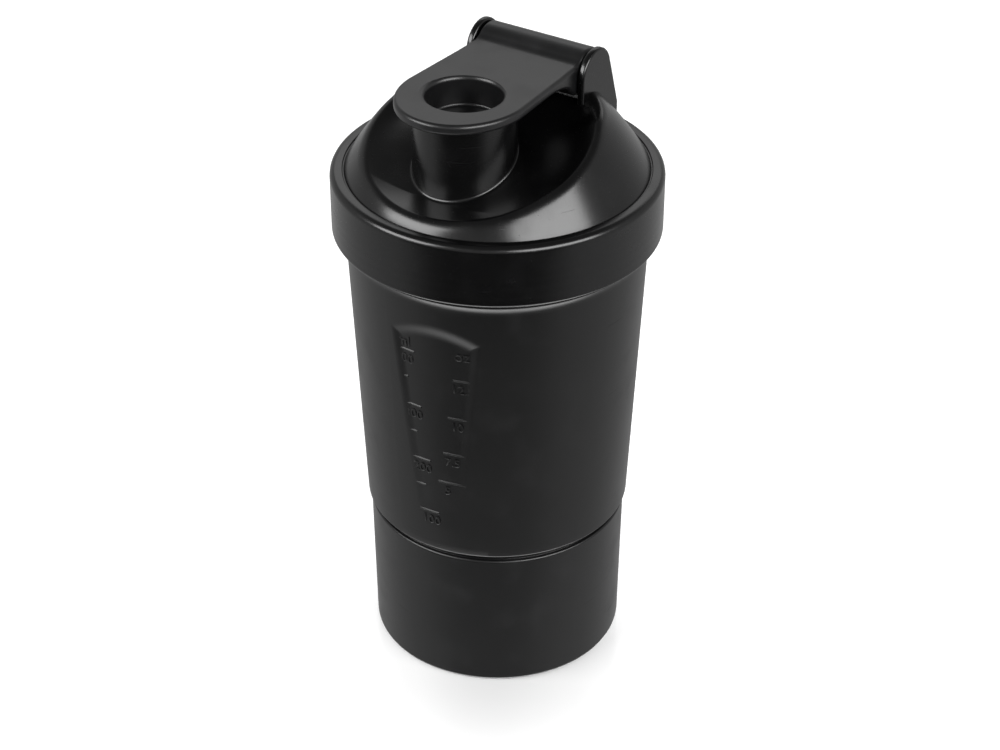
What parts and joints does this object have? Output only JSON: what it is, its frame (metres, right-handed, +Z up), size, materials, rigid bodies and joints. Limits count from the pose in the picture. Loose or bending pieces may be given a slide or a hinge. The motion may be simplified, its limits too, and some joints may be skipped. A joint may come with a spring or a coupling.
{
  "type": "protein shaker bottle",
  "caption": "Tapered shaker cup with a scale panel, a screw lid with a domed top, spout and flip cap, a clip-in sieve, and a screwed-on powder jar under the cup.",
  "frame": {"origin": "centre of the base, on the surface that the bottle stands on", "axes": "+Z up along the bottle's axis; the spout and the flip cap's nose point to -Y; the cap's hinge line is parallel to X, behind the axis"},
  "size_m": [0.098, 0.098, 0.1966],
  "materials": {
    "jar_plastic": "fine satin texture, black",
    "cup_plastic": "fine satin texture, black",
    "lid_plastic": "smooth semi-gloss, black",
    "flip_plastic": "smooth semi-gloss, black",
    "sieve_plastic": "satin, black",
    "seal_rubber": "soft silicone, dark grey"
  },
  "bodies": {
    "jar": {"storage_jar": "jar_plastic"},
    "jar_thread": {"storage_seal": "seal_rubber"},
    "cup": {"cup": "cup_plastic"},
    "lid_thread": {"lid_seal": "seal_rubber"},
    "lid": {"lid": "lid_plastic"},
    "sieve": {"mixing_sieve": "sieve_plastic"},
    "flip": {"flip_cap": "flip_plastic", "plug_seal": "seal_rubber"}
  },
  "joints": [
    {"name": "cup_rise", "type": "slide", "parent": "jar", "child": "jar_thread", "axis": [0, 0, 1], "range_m": [0, 0.012]},
    {"name": "cup_turn", "type": "hinge", "parent": "jar_thread", "child": "cup", "pos_m": [0, 0, 0.05], "axis": [0, 0, 1], "range_deg": [0, 540]},
    {"name": "lid_rise", "type": "slide", "parent": "cup", "child": "lid_thread", "axis": [0, 0, 1], "range_m": [0, 0.024]},
    {"name": "lid_turn", "type": "hinge", "parent": "lid_thread", "child": "lid", "pos_m": [0, 0, 0.16], "axis": [0, 0, 1], "range_deg": [0, 720]},
    {"name": "flip_hinge", "type": "hinge", "parent": "lid", "child": "flip", "pos_m": [0, 0.02195, 0.1887], "axis": [-1, 0, 0], "range_deg": [0, 175]},
    {"name": "sieve_pull", "type": "slide", "parent": "lid", "child": "sieve", "axis": [0, 0, -1], "range_m": [0, 0.016]}
  ],
  "couplings": [
    {"joint": "cup_rise", "follows": "cup_turn", "m_per_rad": 0.0012732},
    {"joint": "lid_rise", "follows": "lid_turn", "m_per_rad": 0.0019099}
  ]
}
